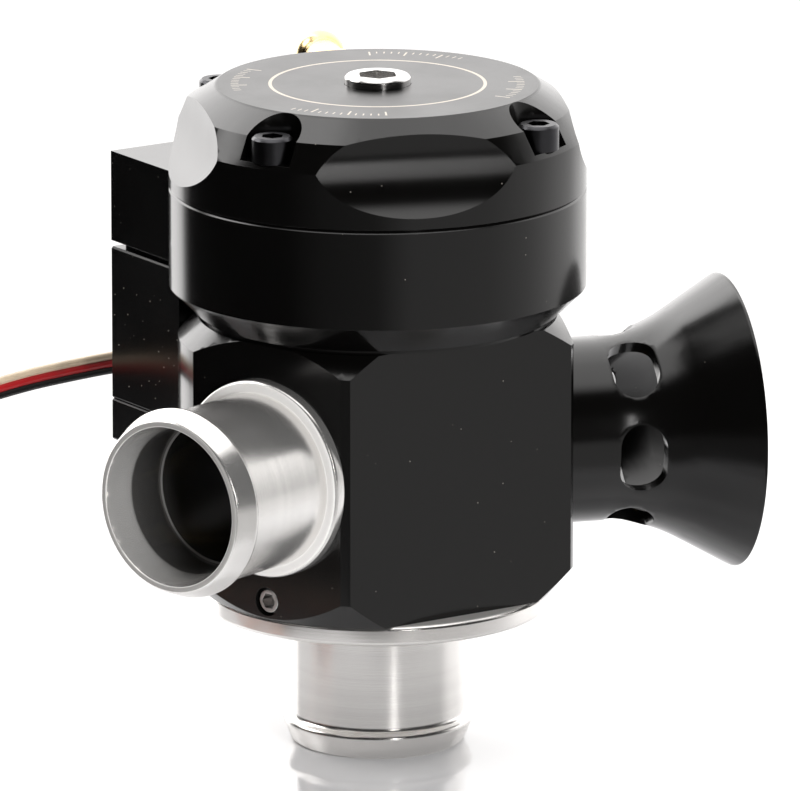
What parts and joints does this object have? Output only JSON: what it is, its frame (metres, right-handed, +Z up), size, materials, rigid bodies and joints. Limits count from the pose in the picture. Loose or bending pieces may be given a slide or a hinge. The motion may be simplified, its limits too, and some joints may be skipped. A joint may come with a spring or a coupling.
{
  "type": "blow off valve",
  "caption": "Turbo blow off valve with a flanged hose base, a side hose outlet, a slotted trumpet outlet and a servo that turns an inner sleeve to share the vented air between them.",
  "frame": {"origin": "centre of the base tube's lower end", "axes": "+Z up along the valve's axis, -Y to the front flat"},
  "size_m": [0.1634, 0.0889, 0.0967],
  "materials": {
    "black_anodised": "satin black anodised",
    "servo_black": "satin black",
    "bare_aluminium": "fine turned",
    "piston_alloy": "hard coated",
    "brass": "bright turned",
    "black_rubber": "matte",
    "bright_steel": "bright zinc",
    "dark_steel": "black oxide",
    "wire_cover": "soft vinyl",
    "connector_plastic": "moulded"
  },
  "bodies": {
    "valve": {"valve_body": "black_anodised", "head_housing": "black_anodised", "head_cap": "black_anodised", "trumpet": "black_anodised", "servo_cover": "servo_black", "servo_case": "servo_black", "servo_top": "servo_black", "base_adapter": "bare_aluminium", "recirc_fitting": "bare_aluminium", "hose_nipple": "brass", "base_oring": "black_rubber", "recirc_oring": "black_rubber", "trumpet_oring": "black_rubber", "cap_oring": "black_rubber", "lead_grommet": "black_rubber", "set_screw": "bright_steel", "servo_bolts": "bright_steel", "valve_spring": "bright_steel", "cap_screws": "dark_steel", "servo_lead": "wire_cover", "lead_coil": "wire_cover", "lead_tail": "wire_cover", "lead_tie": "connector_plastic", "lead_connector": "connector_plastic"},
    "piston_set": {"piston": "piston_alloy", "piston_ring": "black_rubber"},
    "sleeve": {"bias_sleeve": "brass"},
    "drive": {"servo_shaft": "bright_steel", "servo_pinion": "brass", "pinion_screw": "bright_steel"},
    "adjuster": {"adjuster_screw": "bright_steel", "adjuster_clip": "bright_steel", "adjuster_oring": "black_rubber"},
    "spring_plate": {"spring_seat": "brass"}
  },
  "joints": [
    {"name": "piston_lift", "type": "slide", "parent": "valve", "child": "piston_set", "axis": [0, 0, 1], "range_m": [0, 0.012], "stiffness_N_per_m": 1500, "springref_m": -0.008, "deforming": ["valve_spring"]},
    {"name": "sleeve_turn", "type": "hinge", "parent": "valve", "child": "sleeve", "pos_m": [0, 0, 0.0432], "axis": [0, 0, 1], "range_deg": [0, 58]},
    {"name": "drive_turn", "type": "hinge", "parent": "valve", "child": "drive", "pos_m": [0.00991, 0.0299, 0.0728], "axis": [0, 0, 1], "range_deg": [-213, 0]},
    {"name": "preload_turn", "type": "hinge", "parent": "valve", "child": "adjuster", "pos_m": [0, 0, 0.0954], "axis": [0, 0, 1], "range_deg": [-750, 750]},
    {"name": "plate_travel", "type": "slide", "parent": "valve", "child": "spring_plate", "axis": [0, 0, 1], "range_m": [-0.0025, 0.0025], "deforming": ["valve_spring"]}
  ],
  "couplings": [
    {"joint": "drive_turn", "follows": "sleeve_turn", "ratio": -3.6667},
    {"joint": "preload_turn", "follows": "plate_travel", "rad_per_m": -5026.5}
  ]
}
